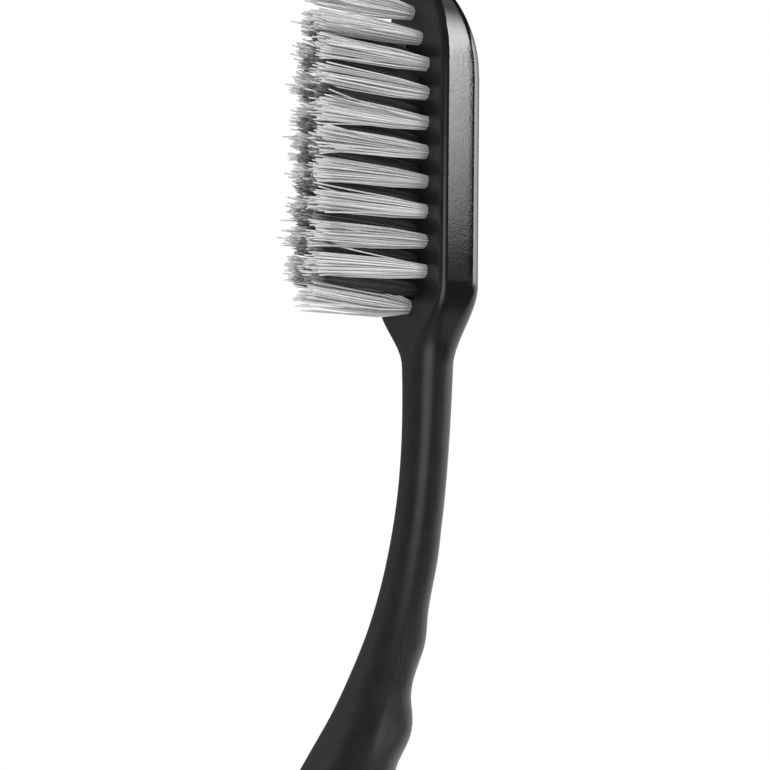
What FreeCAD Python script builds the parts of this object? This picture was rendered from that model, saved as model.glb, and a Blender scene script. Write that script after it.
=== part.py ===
"""Manual toothbrush: a moulded handle with an oval head, folded tufts in blind holes, and anchor plates.

The brush lies on its back. +X runs along the grip to the head, +Z is the bristle side, and the origin is the
middle of the grip's straight back. All lengths are in millimetres and all angles in degrees.
"""
import FreeCAD, Part
import math
import os
import re

import Sketcher

SIZES = {
    # head plate
    "head_length": 26.5,
    "head_width": 11.3,
    "head_thickness": 4.4,
    "head_tip_length": 8.4,
    "head_tip_radius": 4.3,
    "head_face_edge": 0.65,
    "head_back_edge": 1.27,
    "head_tilt": 16.0,
    # shoulder and neck
    "shoulder_length": 9.5,
    "neck_root_width": 4.8,
    "neck_root_depth": 4.2,
    "neck_waist_width": 4.2,
    "neck_waist_depth": 3.85,
    "bend_radius": 114.0,
    # grip
    "grip_length": 118.0,
    "grip_width": 13.2,
    "grip_depth": 9.6,
    "butt_length": 9.0,
    "land_width": 5.0,
    "land_edge_angle": 12.0,
    "land_trim": 0.02,
    "wave_lead": 10.8,
    "wave_pitch": 8.2,
    "wave_depth": 0.75,
    # tuft field
    "first_row_inset": 3.1,
    "row_pitch": 2.755,
    "outer_column": 2.68,
    "crown_column": 1.46,
    "inner_column": 0.95,
    # tuft holes, tufts and anchor plates
    "hole_diameter": 1.4,
    "hole_depth": 3.0,
    "tuft_clearance": 0.02,
    "outer_tuft_height": 10.9,
    "inner_tuft_height": 11.9,
    "outer_tip_radius": 0.92,
    "inner_tip_radius": 0.72,
    "anchor_width": 1.8,
    "anchor_height": 1.2,
    "anchor_thickness": 0.2,
    "anchor_lift": 0.45,
    "overrun": 5.0,
}

FULL_ROWS = 8
LAST_ROW = FULL_ROWS + 3

# Share of the corner radius in a section's depth, and of the flats in the width of an eight-sided tuft.
CORNER_SHARE = 0.43
FLAT_SHARE = math.cos(math.pi / 8)

# Shoulder sections: shares of the shoulder still to run to the neck root, and where the taper begins.
SHOULDER_RUN_SHARES = (1.0, 0.8, 0.68, 0.56, 0.44, 0.32, 0.2, 0.1, 0.0)
TAPER_START_SHARE = 0.8

# How the grip swells over the neck's waist: shares of a stretch, and shares of the swell in width and depth.
# The neck's stretch runs from the first trough to the root, the waves count in steps of half a wave, and the
# grip's stretch runs from the last wave to the butt.
NECK_SWELL_SHARES = (
    (1.0, 0.06, 0.06),
    (0.83, 0.02, 0.04),
    (0.64, 0.0, 0.01),
    (0.43, 0.0, 0.0),
    (0.205, 0.022, 0.017),
)
WAVE_SWELL_SHARES = (
    (0.067, 0.052),
    (0.14, 0.11),
    (0.255, 0.20),
    (0.395, 0.30),
    (0.595, 0.45),
    (0.745, 0.63),
    (0.85, 0.79),
    (0.93, 0.90),
    (0.975, 0.962),
)
GRIP_SWELL_SHARES = (
    (0.09, 1.0, 1.0),
    (0.30, 0.95, 0.93),
    (0.53, 0.84, 0.79),
    (0.76, 0.775, 0.68),
    (1.0, 0.755, 0.63),
)

# The waves fade in and out: share of the full depth at each trough, one wave apart. The flat that the brush
# lies on starts at a crest, so many waves past the first trough.
WAVE_FADE_SHARES = (0.25, 1.0, 1.0, 0.8, 0.4)
LAND_WAVES = 1.5

# Sections of the loft along each stretch, and the angles at which the rounded butt is cut.
NECK_RUN_SHARES = (0.85, 0.7, 0.55, 0.42, 0.3)
SECTIONS_PER_WAVE = 4
GRIP_RUN_SHARES = (0.15, 0.32, 0.49, 0.66, 0.83, 1.0)
BUTT_ANGLES = (24.0, 43.0, 60.0, 76.0)

doc = FreeCAD.newDocument("Toothbrush")


def make_sheet():
    """Write each driving size to its own cell and give the cell the size's name."""
    sheet = doc.addObject("Spreadsheet::Sheet", "Sizes")
    for row, (name, value) in enumerate(SIZES.items(), start=1):
        sheet.set(f"A{row}", name)
        sheet.set(f"B{row}", str(value))
        sheet.setAlias(f"B{row}", name)
    doc.recompute()
    return sheet


sheet = make_sheet()


def sized(text):
    """An expression in which every size's name reads its cell of the sheet."""
    return re.sub(r"[a-z_]+", lambda word: f"Sizes.{word[0]}" if word[0] in SIZES else word[0], text)


def value(text):
    """The number that an expression in the sizes' names has now."""
    return sheet.evalExpression(sized(text))


def bind(thing, **paths):
    """Bind properties of an object, given as path=expression with __ for a dot."""
    for path, text in paths.items():
        thing.setExpression(path.replace("__", "."), sized(text))


def origin_plane(body, role):
    """A plane of a body's own origin, by its role."""
    return next(plane for plane in body.Origin.OriginFeatures if plane.Role == role)


def add_sketch(body, name, role, base, axis=None, angle=None):
    """A sketch on an origin plane, moved along the plane's own axes and turned about one of them."""
    sketch = body.newObject("Sketcher::SketchObject", name)
    sketch.AttachmentSupport = (origin_plane(body, role), [""])
    sketch.MapMode = "FlatFace"
    if axis is not None:
        turn = FreeCAD.Rotation(FreeCAD.Vector(*axis), value(angle))
        sketch.AttachmentOffset = FreeCAD.Placement(FreeCAD.Vector(), turn)
        bind(sketch, AttachmentOffset__Rotation__Angle=angle)
    for letter, text in zip("xyz", base):
        if text is not None:
            bind(sketch, **{f"AttachmentOffset__Base__{letter}": text})
    return sketch


def constrain(sketch, name, text, *constraint):
    """Add a dimension to a sketch under a name and bind it to an expression."""
    index = sketch.addConstraint(Sketcher.Constraint(*constraint, value(text)))
    sketch.renameConstraint(index, name)
    bind(sketch, **{f"Constraints__{name}": text})


ARC_LENGTH = "( head_tilt * pi / 180 * bend_radius )"
HEAD_TIP = "( shoulder_length + head_length )"


def path_place(position):
    """The section plane at a distance from the start of the bend: flat grip behind it, arc ahead of it."""
    start = "grip_length / 2"
    if value(position) <= 0:
        return "0 - land_trim", f"{start} + {position}", None
    angle = f"( {position} ) / bend_radius * 180 / pi"
    up = f"bend_radius * ( 1 - cos( {angle} ) ) - land_trim"
    return up, f"{start} + bend_radius * sin( {angle} )", angle


def root_place(beyond):
    """The section plane at a distance past the bend, on the straight line that the head lies along."""
    up = f"bend_radius * ( 1 - cos( head_tilt ) ) - land_trim + {beyond} * sin( head_tilt )"
    along = f"grip_length / 2 + bend_radius * sin( head_tilt ) + {beyond} * cos( head_tilt )"
    return up, along, "head_tilt"


def face_place(along, normal="0"):
    """X and Z of a point of the head: its distance past the neck root and its height over the face."""
    up, forward, _ = root_place("0")
    rise = f"( neck_root_depth + {normal} )"
    return (
        f"{forward} + ( {along} ) * cos( head_tilt ) - {rise} * sin( head_tilt )",
        f"{up} + ( {along} ) * sin( head_tilt ) + {rise} * cos( head_tilt )",
    )


def face_sketch(body, name):
    """A sketch on the head's face, with its x axis towards the tip and its origin over the neck root."""
    x, z = face_place("0")
    return add_sketch(body, name, "XY_Plane", (x, None, z), (0, -1, 0), "head_tilt")


def section_sketch(body, name, place, width, back, front, back_corner, front_corner, land=None):
    """A rounded rectangle across the path, from a back line to a front line.

    With a land, half of the back line has that length, and its ends are edges and not round.
    """
    up, along, tilt = place
    axis = (-1, 0, 0) if tilt else None
    sketch = add_sketch(body, name, "YZ_Plane", (None, up, along), axis, tilt)
    half, low, high = value(width) / 2, value(back), value(front)
    low_radius, high_radius = value(back_corner), value(front_corner)
    edge = 0 if land is None else value("land_edge_angle")
    low_centre = low + low_radius * math.cos(math.radians(edge))
    centres = (
        (half - low_radius, low_centre, low_radius, edge - 90, 0),
        (half - high_radius, high - high_radius, high_radius, 0, 90),
        (high_radius - half, high - high_radius, high_radius, 90, 180),
        (low_radius - half, low_centre, low_radius, 180, 270 - edge),
    )
    arcs = []
    for across, height, radius, start, end in centres:
        circle = Part.Circle(FreeCAD.Vector(across, height, 0), FreeCAD.Vector(0, 0, 1), radius)
        arcs.append(Part.ArcOfCircle(circle, math.radians(start), math.radians(end)))
    edges = []
    for arc, following in zip(arcs, arcs[1:] + arcs[:1]):
        edges += [arc, Part.LineSegment(arc.EndPoint, following.StartPoint)]
    sketch.addGeometry(edges, False)
    right, top, left, bottom = 1, 3, 5, 7
    for edge in range(bottom + 1):
        following = (edge + 1) % len(edges)
        joint = "Coincident" if land and bottom in (edge, following) else "Tangent"
        sketch.addConstraint(Sketcher.Constraint(joint, edge, 2, following, 1))
    sketch.addConstraint(Sketcher.Constraint("Vertical", right))
    sketch.addConstraint(Sketcher.Constraint("Vertical", left))
    sketch.addConstraint(Sketcher.Constraint("Horizontal", top))
    sketch.addConstraint(Sketcher.Constraint("Horizontal", bottom))
    sketch.addConstraint(Sketcher.Constraint("Equal", 0, 6))
    sketch.addConstraint(Sketcher.Constraint("Equal", 2, 4))
    constrain(sketch, "RightHalf", f"( {width} ) / 2", "DistanceX", -1, 1, right, 1)
    constrain(sketch, "LeftHalf", f"( {width} ) / 2", "DistanceX", left, 1, -1, 1)
    constrain(sketch, "Front", front, "DistanceY", -1, 1, top, 1)
    constrain(sketch, "Depth", f"( {front} ) - ( {back} )", "DistanceY", bottom, 1, top, 1)
    constrain(sketch, "BackCorner", back_corner, "Radius", 0)
    constrain(sketch, "FrontCorner", front_corner, "Radius", 2)
    if land:
        constrain(sketch, "RightLand", land, "DistanceX", -1, 1, bottom, 2)
        constrain(sketch, "LeftLand", land, "DistanceX", bottom, 1, -1, 1)
    return sketch


def shoulder_sections(body):
    """Sections from the head's end, where they match the plate, to the root of the neck."""
    sections = []
    for number, run_share in enumerate(SHOULDER_RUN_SHARES, start=1):
        gone = max(0, 1 - run_share / TAPER_START_SHARE)
        neck_share = gone * gone * (3 - 2 * gone)
        corner = f"{CORNER_SHARE} * neck_root_depth"
        sections.append(section_sketch(
            body,
            f"ShoulderSection{number}",
            root_place(f"( {run_share} * shoulder_length )"),
            f"head_width + {neck_share} * ( neck_root_width - head_width )",
            f"( neck_root_depth - head_thickness ) * {1 - neck_share}",
            "neck_root_depth",
            f"head_back_edge + {neck_share} * ( {corner} - head_back_edge )",
            f"head_face_edge + {neck_share} * ( {corner} - head_face_edge )",
        ))
    return sections


def wave_position(waves):
    """A place along the path, so many waves past the first trough towards the butt."""
    return f"( wave_lead - {waves} * wave_pitch )"


LAST_WAVE = wave_position(len(WAVE_FADE_SHARES) - 0.5)
BUTT = "( butt_length - grip_length )"


def neck_position(run_share):
    """A place on the neck, as a share of the way from the first trough to the root."""
    return f"( wave_lead + {run_share} * ( {ARC_LENGTH} - wave_lead ) )"


def grip_position(run_share):
    """A place on the grip, as a share of the way from the last wave to the butt."""
    return f"( {LAST_WAVE} + {run_share} * ( {BUTT} - {LAST_WAVE} ) )"


def swell_keys():
    """Places along the path, from butt to root, with the shares of the swell that they have."""
    keys = [(value(neck_position(run)), width, depth) for run, width, depth in NECK_SWELL_SHARES]
    for number, (width, depth) in enumerate(WAVE_SWELL_SHARES):
        keys.append((value(wave_position(number / 2)), width, depth))
    keys += [(value(grip_position(run)), width, depth) for run, width, depth in GRIP_SWELL_SHARES]
    return sorted(keys)


def slope(keys, index, column):
    """The slope of one share at a key, from the keys on both sides of it."""
    before, after = keys[max(index - 1, 0)], keys[min(index + 1, len(keys) - 1)]
    return (after[column] - before[column]) / (after[0] - before[0])


def swell_at(keys, place, column):
    """One share of the swell at a place, on a smooth curve through the keys."""
    passed = sum(key[0] < place for key in keys)
    index = min(max(passed - 1, 0), len(keys) - 2)
    low, high = keys[index], keys[index + 1]
    run = high[0] - low[0]
    gone = min(max((place - low[0]) / run, 0), 1)
    left = 1 - gone
    return (
        low[column] * left * left * (1 + 2 * gone)
        + high[column] * gone * gone * (1 + 2 * left)
        + slope(keys, index, column) * run * gone * left * left
        - slope(keys, index + 1, column) * run * gone * gone * left
    )


def wave_share(place):
    """Share of the wave's full depth at a place: a cosine that fades in and out along the back."""
    waves = (value("wave_lead") - place) / value("wave_pitch")
    fades = (0, *WAVE_FADE_SHARES, 0)
    step = min(max(waves + 1, 0), len(fades) - 1)
    index = min(int(step), len(fades) - 2)
    fade = fades[index] + (step - index) * (fades[index + 1] - fades[index])
    return fade * (1 + math.cos(2 * math.pi * waves)) / 2


def swell_section(body, name, keys, position, round_share=1):
    """A section of the neck or grip: its swell over the neck's waist, its wave, and the butt's rounding."""
    place = value(position)
    width_share, depth_share = swell_at(keys, place, 1), swell_at(keys, place, 2)
    full_width = f"( neck_waist_width + {width_share:.4f} * ( grip_width - neck_waist_width ) )"
    width = f"{full_width} * {round_share:.4f}"
    depth = f"( neck_waist_depth + {depth_share:.4f} * ( grip_depth - neck_waist_depth ) )"
    back = f"{depth} * {(1 - round_share) / 2:.4f} + {wave_share(place):.4f} * wave_depth"
    front = f"{depth} * {(1 + round_share) / 2:.4f}"
    corner = f"{CORNER_SHARE} * ( ( {front} ) - ( {back} ) )"
    if place > value(wave_position(LAND_WAVES - 0.5 / SECTIONS_PER_WAVE)):
        return section_sketch(body, name, path_place(position), width, back, front, corner, corner)
    land = f"( land_width / 2 * {round_share:.4f} )"
    land_corner = f"( ( {width} ) / 2 - {land} ) / ( 1 - sin( land_edge_angle ) )"
    return section_sketch(body, name, path_place(position), width, back, front, land_corner, corner, land)


def grip_sections(body):
    """Sections down the neck, over the waves and along the grip to its rounded butt."""
    keys = swell_keys()
    positions = [neck_position(run_share) for run_share in NECK_RUN_SHARES]
    wave_steps = SECTIONS_PER_WAVE * len(WAVE_FADE_SHARES)
    positions += [wave_position(step / SECTIONS_PER_WAVE - 0.5) for step in range(wave_steps + 1)]
    positions += [grip_position(run_share) for run_share in GRIP_RUN_SHARES]
    sections = []
    for number, position in enumerate(positions, start=1):
        sections.append(swell_section(body, f"GripSection{number}", keys, position))
    for number, angle in enumerate(BUTT_ANGLES, start=1):
        position = f"( {BUTT} - butt_length * sin( {angle} ) )"
        round_share = math.cos(math.radians(angle))
        sections.append(swell_section(body, f"ButtSection{number}", keys, position, round_share))
    return sections


def head_outline(body):
    """The head plate's outline: straight sides, two side arcs and a tighter arc round the tip."""
    sketch = face_sketch(body, "HeadOutline")
    half, start, tip = value("head_width / 2"), value("shoulder_length"), value(HEAD_TIP)
    straight = value(f"{HEAD_TIP} - head_tip_length")
    tip_radius = value("head_tip_radius")
    reach = tip - straight - tip_radius
    side_radius = (reach ** 2 + half ** 2 - tip_radius ** 2) / (2 * (half - tip_radius))
    turn = math.atan2(reach, side_radius - half)
    up = FreeCAD.Vector(0, 0, 1)
    right_side = Part.Circle(FreeCAD.Vector(straight, side_radius - half, 0), up, side_radius)
    left_side = Part.Circle(FreeCAD.Vector(straight, half - side_radius, 0), up, side_radius)
    tip_circle = Part.Circle(FreeCAD.Vector(tip - tip_radius, 0, 0), up, tip_radius)
    sketch.addGeometry([
        Part.LineSegment(FreeCAD.Vector(start, -half, 0), FreeCAD.Vector(straight, -half, 0)),
        Part.ArcOfCircle(right_side, -math.pi / 2, -math.pi / 2 + turn),
        Part.ArcOfCircle(tip_circle, -math.pi / 2 + turn, math.pi / 2 - turn),
        Part.ArcOfCircle(left_side, math.pi / 2 - turn, math.pi / 2),
        Part.LineSegment(FreeCAD.Vector(straight, half, 0), FreeCAD.Vector(start, half, 0)),
        Part.LineSegment(FreeCAD.Vector(start, half, 0), FreeCAD.Vector(start, -half, 0)),
    ], False)
    for edge in range(4):
        sketch.addConstraint(Sketcher.Constraint("Tangent", edge, 2, edge + 1, 1))
    sketch.addConstraint(Sketcher.Constraint("Coincident", 4, 2, 5, 1))
    sketch.addConstraint(Sketcher.Constraint("Coincident", 5, 2, 0, 1))
    sketch.addConstraint(Sketcher.Constraint("Horizontal", 0))
    sketch.addConstraint(Sketcher.Constraint("Horizontal", 4))
    sketch.addConstraint(Sketcher.Constraint("Vertical", 5))
    sketch.addConstraint(Sketcher.Constraint("PointOnObject", 2, 3, -1))
    constrain(sketch, "Start", "shoulder_length", "DistanceX", -1, 1, 0, 1)
    constrain(sketch, "RightHalf", "head_width / 2", "DistanceY", 0, 1, -1, 1)
    constrain(sketch, "LeftHalf", "head_width / 2", "DistanceY", -1, 1, 4, 2)
    constrain(sketch, "TipRadius", "head_tip_radius", "Radius", 2)
    constrain(sketch, "TipCentre", f"{HEAD_TIP} - head_tip_radius", "DistanceX", -1, 1, 2, 3)
    constrain(sketch, "RightStraight", f"{HEAD_TIP} - head_tip_length", "DistanceX", -1, 1, 0, 2)
    constrain(sketch, "LeftStraight", f"{HEAD_TIP} - head_tip_length", "DistanceX", -1, 1, 4, 1)
    return sketch


def rim_edges(feature, outline, height):
    """Names of the plate's rim edges at a height over the face, without the one that joins the shoulder."""
    to_face = outline.Placement.inverse()
    start, level = value("shoulder_length"), value(height)
    near = FreeCAD.Base.Precision.confusion()
    names = []
    for number, edge in enumerate(feature.Shape.Edges, start=1):
        ends = [to_face.multVec(vertex.Point) for vertex in edge.Vertexes]
        on_level = all(math.isclose(end.z, level, abs_tol=near) for end in ends)
        on_joint = all(math.isclose(end.x, start, abs_tol=near) for end in ends)
        if on_level and not on_joint:
            names.append(f"Edge{number}")
    return names


def add_fillet(body, name, base, outline, height, radius):
    """Round the rim of the head plate at one height."""
    doc.recompute()
    fillet = body.newObject("PartDesign::Fillet", name)
    fillet.Base = (base, rim_edges(base, outline, height))
    bind(fillet, Radius=radius)
    return fillet


def add_pocket(body, name, sketch, depth=None):
    """Cut a sketch into the body, to a depth or right through what lies below it."""
    pocket = body.newObject("PartDesign::Pocket", name)
    pocket.Profile = sketch
    if depth is None:
        pocket.Type = "ThroughAll"
    else:
        bind(pocket, Length=depth)
    return pocket


def add_rectangle(sketch, left, right, low, high):
    """Four joined lines, level and upright; gives the numbers of the low, right, high and left ones."""
    corners = [FreeCAD.Vector(x, y, 0) for x, y in ((left, low), (right, low), (right, high), (left, high))]
    lines = [Part.LineSegment(*pair) for pair in zip(corners, corners[1:] + corners[:1])]
    numbers = sketch.addGeometry(lines, False)
    for edge, following in zip(numbers, numbers[1:] + numbers[:1]):
        sketch.addConstraint(Sketcher.Constraint("Coincident", edge, 2, following, 1))
    for edge, direction in zip(numbers, ("Horizontal", "Vertical", "Horizontal", "Vertical")):
        sketch.addConstraint(Sketcher.Constraint(direction, edge))
    return numbers


def mark_hole(sketch, number, place):
    """A tuft hole's circle on the face."""
    along, side, column = place
    centre = FreeCAD.Vector(value(along), side * value(column), 0)
    rim = Part.Circle(centre, FreeCAD.Vector(0, 0, 1), value("hole_diameter / 2"))
    circle = sketch.addGeometry(rim, False)
    constrain(sketch, f"Radius{number}", "hole_diameter / 2", "Radius", circle)
    constrain(sketch, f"Along{number}", along, "DistanceX", -1, 1, circle, 3)
    if side > 0:
        constrain(sketch, f"Across{number}", column, "DistanceY", -1, 1, circle, 3)
    elif side < 0:
        constrain(sketch, f"Across{number}", column, "DistanceY", circle, 3, -1, 1)
    else:
        sketch.addConstraint(Sketcher.Constraint("PointOnObject", circle, 3, -1))


def mark_slot(sketch, number, place):
    """The cut that an anchor plate makes in both walls of its hole on the way in."""
    along, side, column = place
    middle_x, middle_y = value(along), side * value(column)
    half_x, half_y = value("anchor_width / 2"), value("anchor_thickness / 2")
    low, right, high, _ = add_rectangle(
        sketch, middle_x - half_x, middle_x + half_x, middle_y - half_y, middle_y + half_y)
    constrain(sketch, f"Width{number}", "anchor_width", "DistanceX", low, 1, low, 2)
    constrain(sketch, f"Thickness{number}", "anchor_thickness", "DistanceY", right, 1, right, 2)
    constrain(sketch, f"Along{number}", f"{along} - anchor_width / 2", "DistanceX", -1, 1, low, 1)
    if side > 0:
        constrain(sketch, f"Across{number}", f"{column} - anchor_thickness / 2", "DistanceY", -1, 1, low, 1)
    elif side < 0:
        constrain(sketch, f"Across{number}", f"{column} - anchor_thickness / 2", "DistanceY", high, 1, -1, 1)
    else:
        constrain(sketch, f"Across{number}", "anchor_thickness / 2", "DistanceY", -1, 1, high, 1)


def row_place(row, side, column):
    """A tuft's place on the face: rows count from the tip, and half rows lie between them."""
    return f"{HEAD_TIP} - first_row_inset - {row - 1} * row_pitch", side, column


def cut_holes(body, name, places, repeats=1):
    """Cut tuft holes and anchor slots at some places, and repeat them row by row towards the neck."""
    hole_sketch = face_sketch(body, f"{name}Holes")
    slot_sketch = face_sketch(body, f"{name}Slots")
    for number, place in enumerate(places, start=1):
        mark_hole(hole_sketch, number, place)
        mark_slot(slot_sketch, number, place)
    holes = add_pocket(body, f"{name}HolePocket", hole_sketch, "hole_depth")
    slots = add_pocket(body, f"{name}SlotPocket", slot_sketch, "hole_depth")
    if repeats > 1:
        doc.recompute()
        pattern = body.newObject("PartDesign::LinearPattern", f"{name}Rows")
        pattern.Originals = [holes, slots]
        pattern.Direction = (hole_sketch, ["H_Axis"])
        pattern.Reversed = True
        pattern.Occurrences = repeats
        bind(pattern, Length=f"row_pitch * {repeats - 1}")
        body.Tip = pattern


def make_handle():
    """The moulded handle: head plate, lofted shoulder, neck and grip, rest land and tuft holes."""
    body = doc.addObject("PartDesign::Body", "Handle")
    body.Label = "handle"
    outline = head_outline(body)
    plate = body.newObject("PartDesign::Pad", "HeadPlate")
    plate.Profile = outline
    plate.Reversed = True
    bind(plate, Length="head_thickness")
    face_edge = add_fillet(body, "FaceEdge", plate, outline, "0", "head_face_edge")
    add_fillet(body, "BackEdge", face_edge, outline, "0 - head_thickness", "head_back_edge")
    doc.recompute()
    sections = shoulder_sections(body) + grip_sections(body)
    doc.recompute()
    loft = body.newObject("PartDesign::AdditiveLoft", "NeckAndGrip")
    loft.Profile = (sections[0], [""])
    loft.Sections = [(section, [""]) for section in sections[1:]]
    loft.Ruled = True
    doc.recompute()
    add_pocket(body, "RestLand", land_sketch(body))
    doc.recompute()
    ends = [row_place(1, 0, "0"), row_place(2.5, 0, "0"), row_place(LAST_ROW, 0, "0")]
    ends += [row_place(2, side, "crown_column") for side in (-1, 1)]
    cut_holes(body, "End", ends)
    cut_holes(body, "Outer", [row_place(3, side, "outer_column") for side in (-1, 1)], FULL_ROWS)
    cut_holes(body, "Inner", [row_place(3.5, side, "inner_column") for side in (-1, 1)], FULL_ROWS)
    doc.recompute()
    return body


def land_sketch(body):
    """A rectangle round the grip on the plane that the brush lies on."""
    sketch = add_sketch(body, "LandOutline", "XY_Plane", ())
    reach, half = value("grip_length / 2 + overrun"), value("grip_width / 2 + overrun")
    low, _, high, _ = add_rectangle(sketch, -reach, reach, -half, half)
    constrain(sketch, "Front", "grip_length / 2 + overrun", "DistanceX", -1, 1, low, 2)
    constrain(sketch, "Rear", "grip_length / 2 + overrun", "DistanceX", low, 1, -1, 1)
    constrain(sketch, "RightHalf", "grip_width / 2 + overrun", "DistanceY", low, 1, -1, 1)
    constrain(sketch, "LeftHalf", "grip_width / 2 + overrun", "DistanceY", -1, 1, high, 1)
    return sketch


def tilt_to_face(thing, place, normal="0", before=("0", "0")):
    """Place an object on the head's face, square to it, with its corner before the tuft's own centre."""
    along, side, column = place
    x, z = face_place(f"{along} - {before[0]}", normal)
    turn = FreeCAD.Rotation(FreeCAD.Vector(0, -1, 0), value("head_tilt"))
    thing.Placement = FreeCAD.Placement(FreeCAD.Vector(), turn)
    bind(thing, Placement__Rotation__Angle="head_tilt", Placement__Base__x=x, Placement__Base__z=z)
    bind(thing, Placement__Base__y=f"{side} * ( {column} ) - {before[1]}")


def add_taper(turn, low, high, low_half, high_half):
    """A four-sided taper round the upright axis, turned about it, between two levels and two half widths."""
    taper = doc.addObject("Part::Wedge", "TuftTaper")
    upright = FreeCAD.Rotation(FreeCAD.Vector(1, 0, 0), 90)
    taper.Placement.Rotation = FreeCAD.Rotation(FreeCAD.Vector(0, 0, 1), turn) * upright
    bind(taper, Ymin=low, Ymax=high)
    bind(taper, Xmin=f"0 - {low_half}", Xmax=low_half, Zmin=f"0 - {low_half}", Zmax=low_half)
    bind(taper, X2min=f"0 - {high_half}", X2max=high_half, Z2min=f"0 - {high_half}", Z2max=high_half)
    return taper


def make_tuft(label, place, height, tip_radius):
    """One bundle of filaments: it stands in its hole, spreads to its tip and is folded round its anchor."""
    root = "( hole_diameter / 2 - tuft_clearance )"
    sunk = "( hole_depth - tuft_clearance )"
    low_half = f"( {FLAT_SHARE} * ( {root} - ( {tip_radius} - {root} ) * {sunk} / {height} ) )"
    high_half = f"( {FLAT_SHARE} * {tip_radius} )"
    bundle = doc.addObject("Part::MultiCommon", "TuftBundle")
    bundle.Shapes = [add_taper(turn, f"0 - {sunk}", height, low_half, high_half) for turn in (0, 45)]
    window = doc.addObject("Part::Box", "FoldWindow")
    bind(window, Length="hole_diameter + 2 * overrun", Width="anchor_thickness + 2 * tuft_clearance")
    bind(window, Height="anchor_height + 2 * tuft_clearance")
    bind(window, Placement__Base__x="0 - hole_diameter / 2 - overrun")
    bind(window, Placement__Base__y="0 - anchor_thickness / 2 - tuft_clearance")
    bind(window, Placement__Base__z="anchor_lift - hole_depth - tuft_clearance")
    tuft = doc.addObject("Part::Cut", "Tuft")
    tuft.Label = label
    tuft.Base = bundle
    tuft.Tool = window
    tilt_to_face(tuft, place)
    return tuft


def make_anchors(places):
    """The flat metal plates, one in the fold of each tuft, with its ends in the slots of its hole."""
    plates = []
    for place in places:
        plate = doc.addObject("Part::Box", "AnchorPlate")
        bind(plate, Length="anchor_width", Width="anchor_thickness", Height="anchor_height")
        tilt_to_face(plate, place, "anchor_lift - hole_depth", ("anchor_width / 2", "anchor_thickness / 2"))
        plates.append(plate)
    anchors = doc.addObject("Part::Compound", "Anchors")
    anchors.Label = "anchor_plates"
    anchors.Links = plates
    return anchors


def outer_tufts():
    """Names and places of the rim's tufts: one at each end, a close pair near the tip, then full rows."""
    tufts = {"outer_tuft_01": row_place(1, 0, "0"), f"outer_tuft_{LAST_ROW:02d}": row_place(LAST_ROW, 0, "0")}
    for row in range(2, LAST_ROW):
        column = "crown_column" if row == 2 else "outer_column"
        for side, word in ((-1, "right"), (1, "left")):
            tufts[f"outer_tuft_{row:02d}_{word}"] = row_place(row, side, column)
    return tufts


def inner_tufts():
    """Names and places of the tufts inside the rim, in half rows: one near the tip, then pairs."""
    tufts = {"inner_tuft_02": row_place(2.5, 0, "0")}
    for row in range(3, LAST_ROW):
        for side, word in ((-1, "right"), (1, "left")):
            tufts[f"inner_tuft_{row:02d}_{word}"] = row_place(row + 0.5, side, "inner_column")
    return tufts


def check_document(pieces):
    """Stop if any object failed or any piece has no sound solid."""
    failed = [thing.Name for thing in doc.Objects if {"Invalid", "Error"} & set(thing.State)]
    if failed:
        raise RuntimeError(f"objects that failed: {failed}")
    for piece in pieces:
        if piece.Shape.isNull() or not piece.Shape.isValid() or not piece.Shape.Solids:
            raise RuntimeError(f"{piece.Label} has no sound solid")


def main():
    """Build every piece, check the document and write one file for each piece."""
    outer, inner = outer_tufts(), inner_tufts()
    pieces = [make_handle()]
    for label, place in outer.items():
        pieces.append(make_tuft(label, place, "outer_tuft_height", "outer_tip_radius"))
    for label, place in inner.items():
        pieces.append(make_tuft(label, place, "inner_tuft_height", "inner_tip_radius"))
    pieces.append(make_anchors(list(outer.values()) + list(inner.values())))
    doc.recompute()
    check_document(pieces)
    os.makedirs("parts", exist_ok=True)
    for piece in pieces:
        piece.Shape.exportStep(f"parts/{piece.Label}.step")
    print(f"{len(pieces)} pieces, handle {pieces[0].Shape.Volume:.1f} cubic mm")


main()
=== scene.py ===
"""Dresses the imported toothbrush: a smooth moulded handle, tufts of single filaments, and a white studio."""
import math
import random
from typing import NamedTuple

import bmesh
import bpy
from mathutils import Matrix, Vector


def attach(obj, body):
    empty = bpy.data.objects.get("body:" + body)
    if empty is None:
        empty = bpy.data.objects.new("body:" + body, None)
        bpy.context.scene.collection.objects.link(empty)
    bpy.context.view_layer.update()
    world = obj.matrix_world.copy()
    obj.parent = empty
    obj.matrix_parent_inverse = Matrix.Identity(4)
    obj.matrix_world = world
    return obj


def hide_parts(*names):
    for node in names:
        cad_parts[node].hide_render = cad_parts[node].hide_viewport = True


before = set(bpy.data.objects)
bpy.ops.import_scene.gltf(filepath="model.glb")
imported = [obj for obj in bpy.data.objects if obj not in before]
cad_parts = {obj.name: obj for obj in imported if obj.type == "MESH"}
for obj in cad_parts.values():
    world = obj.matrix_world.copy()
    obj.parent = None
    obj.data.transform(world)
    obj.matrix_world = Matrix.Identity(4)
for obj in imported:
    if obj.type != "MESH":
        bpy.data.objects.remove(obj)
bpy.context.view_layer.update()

MM = 0.001
BODY = "root"

# Path of the handle's back, from the bend's start: flat grip behind it, an arc and the straight head ahead.
GRIP_LENGTH = 118.0 * MM
BUTT_LENGTH = 9.0 * MM
BEND_RADIUS = 114.0 * MM
HEAD_TILT = math.radians(16.0)
ARC_LENGTH = BEND_RADIUS * HEAD_TILT
SHOULDER_LENGTH = 9.5 * MM
HEAD_LENGTH = 26.5 * MM
HEAD_TIP = ARC_LENGTH + SHOULDER_LENGTH + HEAD_LENGTH

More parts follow.
